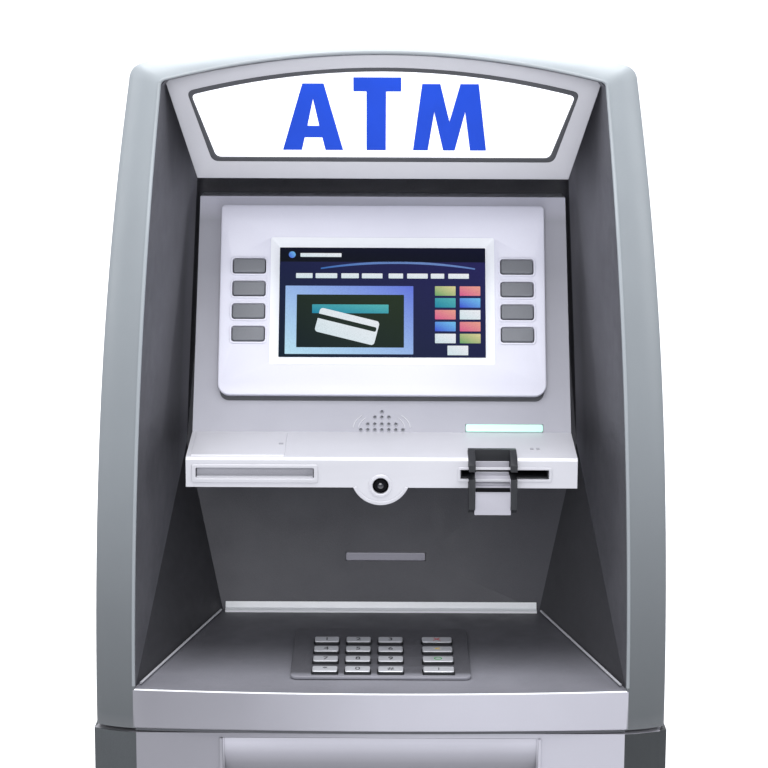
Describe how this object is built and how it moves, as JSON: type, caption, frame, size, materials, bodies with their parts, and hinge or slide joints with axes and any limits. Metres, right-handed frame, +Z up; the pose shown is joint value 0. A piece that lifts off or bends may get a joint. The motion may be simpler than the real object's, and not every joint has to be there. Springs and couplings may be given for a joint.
{
  "type": "atm machine",
  "caption": "Free-standing cash machine: hooded user recess with lit sign, screen, keypad, card and receipt slots, over a steel safe with cash tray.",
  "frame": {"origin": "on the floor under the middle of the machine", "axes": "+Z up, -Y towards the customer, +X to the customer's right"},
  "size_m": [0.416, 0.56, 1.436],
  "materials": {
    "silver_moulding": "metallic silver paint, satin",
    "pale_moulding": "light metallic silver paint, satin",
    "white_moulding": "white, satin",
    "grey_liner": "dark grey, fine texture",
    "sign_acrylic": "translucent white acrylic",
    "screen_glass": "dark screen",
    "grey_keycap": "grey, matt",
    "metal_keycap": "brushed",
    "black_plastic": "black, fine texture",
    "lit_lens": "lit lens",
    "unlit_lens": "unlit lens",
    "bright_steel": "brushed",
    "painted_steel": "dark grey powder coat, fine texture",
    "zinc_sheet": "plain sheet",
    "paper": "wound paper",
    "black_steel": "black powder coat",
    "rubber": "black rubber"
  },
  "bodies": {
    "root": {"plinth": "black_steel", "safe_body": "painted_steel", "safe_hinge": "bright_steel", "dispenser": "zinc_sheet", "cash_cassette": "black_plastic", "rear_housing": "painted_steel", "controller_unit": "zinc_sheet", "power_supply": "zinc_sheet", "power_inlet": "black_plastic", "fascia_hinge": "bright_steel"},
    "fascia": {"hood_shell": "silver_moulding", "recess_liner": "grey_liner", "sign_box": "pale_moulding", "sign_panel": "sign_acrylic", "display_pod": "pale_moulding", "screen_bezel": "white_moulding", "lcd_module": "screen_glass", "pin_pad_frame": "grey_liner", "card_reader_bezel": "black_plastic", "card_reader_body": "black_plastic", "receipt_printer": "black_plastic", "camera_module": "black_plastic", "card_lamp": "lit_lens", "cash_lamp": "unlit_lens", "speaker": "black_plastic"},
    "safe_door": {"safe_door": "painted_steel", "door_cover": "silver_moulding", "cash_tray": "pale_moulding"},
    "fan": {"fan_rotor": "black_plastic"},
    "paper": {"paper_roll": "paper"},
    "platen": {"platen_roller": "rubber"},
    "fascia_lock": {"fascia_lock": "bright_steel"},
    "dial": {"lock_dial": "black_plastic"},
    "handle": {"safe_handle": "bright_steel"},
    "bolts": {"bolt_bar": "bright_steel"},
    "flap": {"cash_flap": "grey_liner"},
    "function_key_left_1": {"function_key_left_1": "grey_keycap"},
    "function_key_left_2": {"function_key_left_2": "grey_keycap"},
    "function_key_left_3": {"function_key_left_3": "grey_keycap"},
    "function_key_left_4": {"function_key_left_4": "grey_keycap"},
    "function_key_right_1": {"function_key_right_1": "grey_keycap"},
    "function_key_right_2": {"function_key_right_2": "grey_keycap"},
    "function_key_right_3": {"function_key_right_3": "grey_keycap"},
    "function_key_right_4": {"function_key_right_4": "grey_keycap"},
    "pin_key_11": {"pin_key_11": "metal_keycap"},
    "pin_key_12": {"pin_key_12": "metal_keycap"},
    "pin_key_13": {"pin_key_13": "metal_keycap"},
    "pin_key_14": {"pin_key_14": "metal_keycap"},
    "pin_key_21": {"pin_key_21": "metal_keycap"},
    "pin_key_22": {"pin_key_22": "metal_keycap"},
    "pin_key_23": {"pin_key_23": "metal_keycap"},
    "pin_key_24": {"pin_key_24": "metal_keycap"},
    "pin_key_31": {"pin_key_31": "metal_keycap"},
    "pin_key_32": {"pin_key_32": "metal_keycap"},
    "pin_key_33": {"pin_key_33": "metal_keycap"},
    "pin_key_34": {"pin_key_34": "metal_keycap"},
    "pin_key_41": {"pin_key_41": "metal_keycap"},
    "pin_key_42": {"pin_key_42": "metal_keycap"},
    "pin_key_43": {"pin_key_43": "metal_keycap"},
    "pin_key_44": {"pin_key_44": "metal_keycap"}
  },
  "joints": [
    {"name": "fascia_hinge", "type": "hinge", "parent": "root", "child": "fascia", "pos_m": [-0.2036, -0.001, 1.075], "axis": [0, 0, -1], "range_deg": [0, 95]},
    {"name": "safe_door_hinge", "type": "hinge", "parent": "root", "child": "safe_door", "pos_m": [-0.204, -0.214, 0.49], "axis": [0, 0, -1], "range_deg": [0, 105]},
    {"name": "handle_turn", "type": "hinge", "parent": "safe_door", "child": "handle", "pos_m": [0.105, -0.226, 0.47], "axis": [0, -1, 0], "range_deg": [0, 90]},
    {"name": "bolt_slide", "type": "slide", "parent": "safe_door", "child": "bolts", "axis": [1, 0, 0], "range_m": [0, 0.012]},
    {"name": "dial_spin", "type": "hinge", "parent": "safe_door", "child": "dial", "pos_m": [0.105, -0.231, 0.59], "axis": [0, -1, 0], "continuous": true},
    {"name": "cash_flap_hinge", "type": "hinge", "parent": "safe_door", "child": "flap", "pos_m": [0, -0.2285, 0.8724], "axis": [-1, 0, 0], "range_deg": [0, 40], "stiffness_Nm_per_rad": 0.02},
    {"name": "fascia_lock_turn", "type": "hinge", "parent": "fascia", "child": "fascia_lock", "pos_m": [0.19, -0.036, 1.18], "axis": [-1, 0, 0], "range_deg": [0, 90]},
    {"name": "paper_roll_spin", "type": "hinge", "parent": "fascia", "child": "paper", "pos_m": [-0.091, -0.045, 1.19], "axis": [1, 0, 0], "continuous": true},
    {"name": "platen_spin", "type": "hinge", "parent": "fascia", "child": "platen", "pos_m": [-0.091, -0.159, 1.137], "axis": [1, 0, 0], "continuous": true},
    {"name": "fan_spin", "type": "hinge", "parent": "root", "child": "fan", "pos_m": [0.11, 0.26, 1.31], "axis": [0, 1, 0], "continuous": true},
    {"name": "function_key_left_1_press", "type": "slide", "parent": "fascia", "child": "function_key_left_1", "axis": [0, 0.9195, -0.3931], "range_m": [0, 0.0015], "stiffness_N_per_m": 300},
    {"name": "function_key_left_2_press", "type": "slide", "parent": "fascia", "child": "function_key_left_2", "axis": [0, 0.9195, -0.3931], "range_m": [0, 0.0015], "stiffness_N_per_m": 300},
    {"name": "function_key_left_3_press", "type": "slide", "parent": "fascia", "child": "function_key_left_3", "axis": [0, 0.9195, -0.3931], "range_m": [0, 0.0015], "stiffness_N_per_m": 300},
    {"name": "function_key_left_4_press", "type": "slide", "parent": "fascia", "child": "function_key_left_4", "axis": [0, 0.9195, -0.3931], "range_m": [0, 0.0015], "stiffness_N_per_m": 300},
    {"name": "function_key_right_1_press", "type": "slide", "parent": "fascia", "child": "function_key_right_1", "axis": [0, 0.9195, -0.3931], "range_m": [0, 0.0015], "stiffness_N_per_m": 300},
    {"name": "function_key_right_2_press", "type": "slide", "parent": "fascia", "child": "function_key_right_2", "axis": [0, 0.9195, -0.3931], "range_m": [0, 0.0015], "stiffness_N_per_m": 300},
    {"name": "function_key_right_3_press", "type": "slide", "parent": "fascia", "child": "function_key_right_3", "axis": [0, 0.9195, -0.3931], "range_m": [0, 0.0015], "stiffness_N_per_m": 300},
    {"name": "function_key_right_4_press", "type": "slide", "parent": "fascia", "child": "function_key_right_4", "axis": [0, 0.9195, -0.3931], "range_m": [0, 0.0015], "stiffness_N_per_m": 300},
    {"name": "pin_key_11_press", "type": "slide", "parent": "fascia", "child": "pin_key_11", "axis": [0, 0.0582, -0.9983], "range_m": [0, 0.002], "stiffness_N_per_m": 300},
    {"name": "pin_key_12_press", "type": "slide", "parent": "fascia", "child": "pin_key_12", "axis": [0, 0.0582, -0.9983], "range_m": [0, 0.002], "stiffness_N_per_m": 300},
    {"name": "pin_key_13_press", "type": "slide", "parent": "fascia", "child": "pin_key_13", "axis": [0, 0.0582, -0.9983], "range_m": [0, 0.002], "stiffness_N_per_m": 300},
    {"name": "pin_key_14_press", "type": "slide", "parent": "fascia", "child": "pin_key_14", "axis": [0, 0.0582, -0.9983], "range_m": [0, 0.002], "stiffness_N_per_m": 300},
    {"name": "pin_key_21_press", "type": "slide", "parent": "fascia", "child": "pin_key_21", "axis": [0, 0.0582, -0.9983], "range_m": [0, 0.002], "stiffness_N_per_m": 300},
    {"name": "pin_key_22_press", "type": "slide", "parent": "fascia", "child": "pin_key_22", "axis": [0, 0.0582, -0.9983], "range_m": [0, 0.002], "stiffness_N_per_m": 300},
    {"name": "pin_key_23_press", "type": "slide", "parent": "fascia", "child": "pin_key_23", "axis": [0, 0.0582, -0.9983], "range_m": [0, 0.002], "stiffness_N_per_m": 300},
    {"name": "pin_key_24_press", "type": "slide", "parent": "fascia", "child": "pin_key_24", "axis": [0, 0.0582, -0.9983], "range_m": [0, 0.002], "stiffness_N_per_m": 300},
    {"name": "pin_key_31_press", "type": "slide", "parent": "fascia", "child": "pin_key_31", "axis": [0, 0.0582, -0.9983], "range_m": [0, 0.002], "stiffness_N_per_m": 300},
    {"name": "pin_key_32_press", "type": "slide", "parent": "fascia", "child": "pin_key_32", "axis": [0, 0.0582, -0.9983], "range_m": [0, 0.002], "stiffness_N_per_m": 300},
    {"name": "pin_key_33_press", "type": "slide", "parent": "fascia", "child": "pin_key_33", "axis": [0, 0.0582, -0.9983], "range_m": [0, 0.002], "stiffness_N_per_m": 300},
    {"name": "pin_key_34_press", "type": "slide", "parent": "fascia", "child": "pin_key_34", "axis": [0, 0.0582, -0.9983], "range_m": [0, 0.002], "stiffness_N_per_m": 300},
    {"name": "pin_key_41_press", "type": "slide", "parent": "fascia", "child": "pin_key_41", "axis": [0, 0.0582, -0.9983], "range_m": [0, 0.002], "stiffness_N_per_m": 300},
    {"name": "pin_key_42_press", "type": "slide", "parent": "fascia", "child": "pin_key_42", "axis": [0, 0.0582, -0.9983], "range_m": [0, 0.002], "stiffness_N_per_m": 300},
    {"name": "pin_key_43_press", "type": "slide", "parent": "fascia", "child": "pin_key_43", "axis": [0, 0.0582, -0.9983], "range_m": [0, 0.002], "stiffness_N_per_m": 300},
    {"name": "pin_key_44_press", "type": "slide", "parent": "fascia", "child": "pin_key_44", "axis": [0, 0.0582, -0.9983], "range_m": [0, 0.002], "stiffness_N_per_m": 300}
  ],
  "couplings": [
    {"joint": "handle_turn", "follows": "bolt_slide", "rad_per_m": 130.89},
    {"joint": "platen_spin", "follows": "paper_roll_spin", "ratio": 4.8571}
  ]
}
